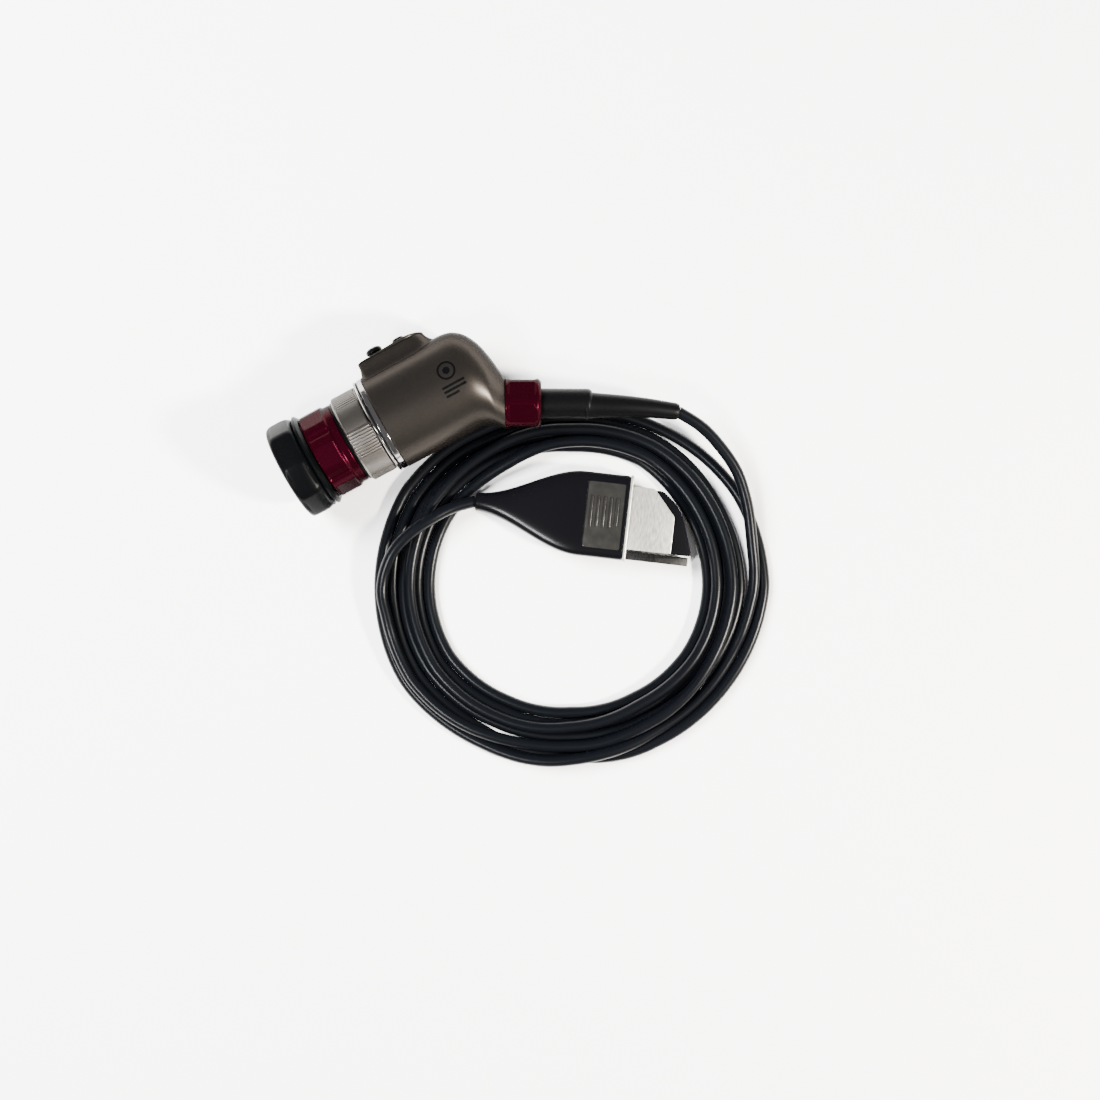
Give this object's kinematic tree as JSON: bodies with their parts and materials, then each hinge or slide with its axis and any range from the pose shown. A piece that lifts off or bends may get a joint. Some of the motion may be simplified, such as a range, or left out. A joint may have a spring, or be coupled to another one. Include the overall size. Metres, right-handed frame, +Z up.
{
  "type": "endoscopy camera head",
  "caption": "Endoscope video camera head with eyepiece coupler, focus and zoom rings, two buttons, and a coiled cable that ends in a flat plug.",
  "frame": {"origin": "on the table under the middle of the head's own box, cable and plug left out", "axes": "+Z up from the table, +X along the optical axis towards the eyepiece, the buttons face -Y and the coil lies on the +Y side"},
  "size_m": [0.1694, 0.2046, 0.0417],
  "materials": {
    "anodised_black": "satin black anodised",
    "steel": "machined",
    "optical_glass": "polished",
    "seal_rubber": "moulded",
    "anodised_red": "gloss crimson anodised",
    "satin_nickel": "satin nickel with fine ribs",
    "bright_chrome": "polished",
    "titanium": "satin warm grey",
    "chassis_metal": "milled",
    "button_rubber": "satin moulded",
    "circuit_board": "solder mask",
    "sensor_package": "ceramic",
    "boot_rubber": "matte moulded",
    "cable_jacket": "glossy silicone jacket",
    "plug_black": "satin moulded",
    "plug_pad": "glossy grey-black",
    "plug_metal": "bright satin",
    "plug_rail_metal": "satin",
    "contact_gold": "gold plated"
  },
  "bodies": {
    "head": {"coupler_body": "anodised_black", "coupler_spring": "steel", "coupler_circlip": "steel", "window_retainer": "anodised_black", "front_window": "optical_glass", "window_seal": "seal_rubber", "lens_barrel": "anodised_black", "neck_spacer": "anodised_black", "relay_cell": "anodised_black", "relay_lens": "optical_glass", "bezel_ring": "bright_chrome", "bezel_seal": "seal_rubber", "housing_shell": "titanium", "button_cover": "titanium", "button_gasket": "seal_rubber", "tact_switches": "steel", "switch_board": "circuit_board", "chassis": "chassis_metal", "prism_block": "optical_glass", "sensor_red": "sensor_package", "sensor_green": "sensor_package", "sensor_blue": "sensor_package", "main_board": "circuit_board", "board_screws": "steel", "gland_nut": "anodised_red", "gland_seal": "seal_rubber", "cable_clamp": "steel", "boot": "boot_rubber", "boot_sleeve": "boot_rubber", "cord_lead": "cable_jacket", "cord_coil": "cable_jacket", "cord_tail": "cable_jacket", "plug_overmould": "plug_black", "plug_grip_pads": "plug_pad", "plug_shell": "plug_metal", "plug_insulator": "plug_black", "plug_rail": "plug_rail_metal", "plug_board": "circuit_board", "plug_contacts": "contact_gold"},
    "coupler_ring": {"coupler_ring": "anodised_black"},
    "jaw_1": {"jaw_1": "steel"},
    "jaw_2": {"jaw_2": "steel"},
    "jaw_3": {"jaw_3": "steel"},
    "focus_ring": {"focus_ring": "anodised_red"},
    "focus_group": {"focus_cell": "anodised_black", "focus_lens": "optical_glass", "focus_pin": "steel"},
    "zoom_ring": {"zoom_ring": "satin_nickel"},
    "zoom_group": {"zoom_cell": "anodised_black", "zoom_lens": "optical_glass", "zoom_pin": "steel"},
    "front_button": {"front_button": "button_rubber"},
    "rear_button": {"rear_button": "button_rubber"}
  },
  "joints": [
    {"name": "coupler_turn", "type": "hinge", "parent": "head", "child": "coupler_ring", "pos_m": [0.04748, -0.00181, 0.02085], "axis": [-1, 0, 0], "range_deg": [0, 25], "stiffness_Nm_per_rad": 0.2, "springref_deg": -20.05},
    {"name": "jaw_1_slide", "type": "slide", "parent": "head", "child": "jaw_1", "axis": [0, 0, 1], "range_m": [0, 0.0018]},
    {"name": "jaw_2_slide", "type": "slide", "parent": "head", "child": "jaw_2", "axis": [0, 0.866, -0.5], "range_m": [0, 0.0018]},
    {"name": "jaw_3_slide", "type": "slide", "parent": "head", "child": "jaw_3", "axis": [0, -0.866, -0.5], "range_m": [0, 0.0018]},
    {"name": "focus_turn", "type": "hinge", "parent": "head", "child": "focus_ring", "pos_m": [0.03498, -0.00181, 0.02085], "axis": [-1, 0, 0], "range_deg": [-40, 40]},
    {"name": "focus_travel", "type": "slide", "parent": "head", "child": "focus_group", "axis": [-1, 0, 0], "range_m": [-0.0015, 0.0015]},
    {"name": "zoom_turn", "type": "hinge", "parent": "head", "child": "zoom_ring", "pos_m": [0.01998, -0.00181, 0.02085], "axis": [-1, 0, 0], "range_deg": [0, 75]},
    {"name": "zoom_travel", "type": "slide", "parent": "head", "child": "zoom_group", "axis": [-1, 0, 0], "range_m": [0, 0.006]},
    {"name": "front_button_press", "type": "slide", "parent": "head", "child": "front_button", "axis": [0, 1, 0], "range_m": [0, 0.0008], "stiffness_N_per_m": 400, "springref_m": -0.004},
    {"name": "rear_button_press", "type": "slide", "parent": "head", "child": "rear_button", "axis": [0, 1, 0], "range_m": [0, 0.0008], "stiffness_N_per_m": 400, "springref_m": -0.004}
  ],
  "couplings": [
    {"joint": "jaw_1_slide", "follows": "coupler_turn", "m_per_rad": 0.004125},
    {"joint": "jaw_2_slide", "follows": "coupler_turn", "m_per_rad": 0.004125},
    {"joint": "jaw_3_slide", "follows": "coupler_turn", "m_per_rad": 0.004125},
    {"joint": "focus_travel", "follows": "focus_turn", "m_per_rad": 0.002148},
    {"joint": "zoom_travel", "follows": "zoom_turn", "m_per_rad": 0.004583}
  ]
}
